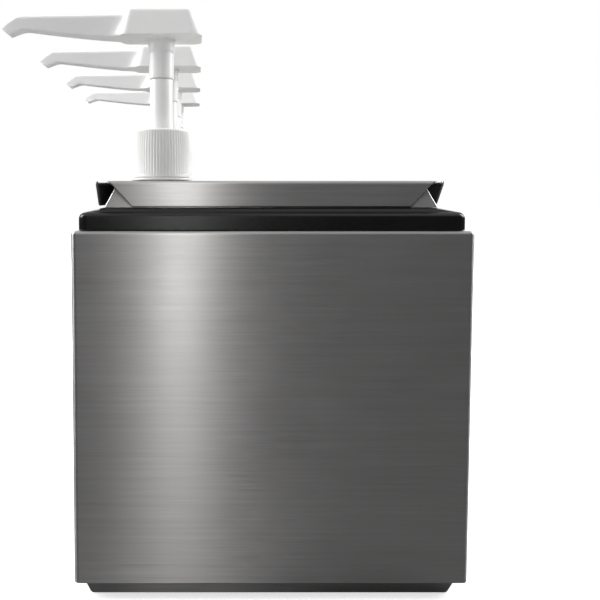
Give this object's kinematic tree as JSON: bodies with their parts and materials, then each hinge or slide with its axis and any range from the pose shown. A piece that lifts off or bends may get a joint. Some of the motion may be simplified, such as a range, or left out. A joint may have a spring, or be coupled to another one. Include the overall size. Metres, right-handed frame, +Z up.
{
  "type": "condiment pump station",
  "caption": "Insulated countertop station with hanging pans under a folded steel lid and a row of push-down condiment pumps.",
  "frame": {"origin": "centre of the base pan's flat underside", "axes": "+Y along the row of pumps, -X the way the spouts point, +Z up"},
  "size_m": [0.2839, 0.46, 0.3521],
  "materials": {
    "brushed_steel": "satin",
    "bright_steel": "satin",
    "spring_steel": "gloss",
    "black_plastic": "gloss",
    "white_plastic": "satin",
    "foam": "matte",
    "seal_rubber": "matte",
    "silicone": "satin",
    "ice_pack": "satin"
  },
  "bodies": {
    "base": {"base_pan": "brushed_steel", "shell": "brushed_steel", "insulation": "foam", "liner": "black_plastic", "ice_pack_1": "ice_pack", "ice_pack_2": "ice_pack"},
    "pan_rack": {"pan_frame": "brushed_steel", "pan_1": "bright_steel", "pan_2": "bright_steel", "pan_3": "bright_steel", "pan_4": "bright_steel"},
    "lid": {"lid": "brushed_steel", "cylinder_1": "white_plastic", "collar_1": "white_plastic", "gasket_1": "silicone", "locknut_1": "white_plastic", "dip_tube_1": "white_plastic", "spring_1": "spring_steel", "cylinder_2": "white_plastic", "collar_2": "white_plastic", "gasket_2": "silicone", "locknut_2": "white_plastic", "dip_tube_2": "white_plastic", "spring_2": "spring_steel", "cylinder_3": "white_plastic", "collar_3": "white_plastic", "gasket_3": "silicone", "locknut_3": "white_plastic", "dip_tube_3": "white_plastic", "spring_3": "spring_steel", "cylinder_4": "white_plastic", "collar_4": "white_plastic", "gasket_4": "silicone", "locknut_4": "white_plastic", "dip_tube_4": "white_plastic", "spring_4": "spring_steel"},
    "plunger_1": {"stem_1": "white_plastic", "piston_1": "seal_rubber"},
    "head_1": {"actuator_1": "white_plastic"},
    "ball_1": {"check_ball_1": "spring_steel"},
    "plunger_2": {"stem_2": "white_plastic", "piston_2": "seal_rubber"},
    "head_2": {"actuator_2": "white_plastic"},
    "ball_2": {"check_ball_2": "spring_steel"},
    "plunger_3": {"stem_3": "white_plastic", "piston_3": "seal_rubber"},
    "head_3": {"actuator_3": "white_plastic"},
    "ball_3": {"check_ball_3": "spring_steel"},
    "plunger_4": {"stem_4": "white_plastic", "piston_4": "seal_rubber"},
    "head_4": {"actuator_4": "white_plastic"},
    "ball_4": {"check_ball_4": "spring_steel"}
  },
  "joints": [
    {"name": "rack_lift", "type": "slide", "parent": "base", "child": "pan_rack", "axis": [0, 0, 1], "range_m": [0, 0.16]},
    {"name": "lid_lift", "type": "slide", "parent": "pan_rack", "child": "lid", "axis": [0, 0, 1], "range_m": [0, 0.16]},
    {"name": "press_1", "type": "slide", "parent": "lid", "child": "plunger_1", "axis": [0, 0, -1], "range_m": [0, 0.0325], "stiffness_N_per_m": 300, "springref_m": -0.012, "deforming": ["spring_1"]},
    {"name": "swivel_1", "type": "hinge", "parent": "plunger_1", "child": "head_1", "pos_m": [-0.066, -0.162, 0.3245], "axis": [0, 0, 1], "range_deg": [-25, 25]},
    {"name": "ball_lift_1", "type": "slide", "parent": "lid", "child": "ball_1", "axis": [0, 0, 1], "range_m": [0, 0.0018]},
    {"name": "press_2", "type": "slide", "parent": "lid", "child": "plunger_2", "axis": [0, 0, -1], "range_m": [0, 0.0325], "stiffness_N_per_m": 300, "springref_m": -0.012, "deforming": ["spring_2"]},
    {"name": "swivel_2", "type": "hinge", "parent": "plunger_2", "child": "head_2", "pos_m": [-0.066, -0.054, 0.3245], "axis": [0, 0, 1], "range_deg": [-25, 25]},
    {"name": "ball_lift_2", "type": "slide", "parent": "lid", "child": "ball_2", "axis": [0, 0, 1], "range_m": [0, 0.0018]},
    {"name": "press_3", "type": "slide", "parent": "lid", "child": "plunger_3", "axis": [0, 0, -1], "range_m": [0, 0.0325], "stiffness_N_per_m": 300, "springref_m": -0.012, "deforming": ["spring_3"]},
    {"name": "swivel_3", "type": "hinge", "parent": "plunger_3", "child": "head_3", "pos_m": [-0.066, 0.054, 0.3245], "axis": [0, 0, 1], "range_deg": [-25, 25]},
    {"name": "ball_lift_3", "type": "slide", "parent": "lid", "child": "ball_3", "axis": [0, 0, 1], "range_m": [0, 0.0018]},
    {"name": "press_4", "type": "slide", "parent": "lid", "child": "plunger_4", "axis": [0, 0, -1], "range_m": [0, 0.0325], "stiffness_N_per_m": 300, "springref_m": -0.012, "deforming": ["spring_4"]},
    {"name": "swivel_4", "type": "hinge", "parent": "plunger_4", "child": "head_4", "pos_m": [-0.066, 0.162, 0.3245], "axis": [0, 0, 1], "range_deg": [-25, 25]},
    {"name": "ball_lift_4", "type": "slide", "parent": "lid", "child": "ball_4", "axis": [0, 0, 1], "range_m": [0, 0.0018]}
  ]
}
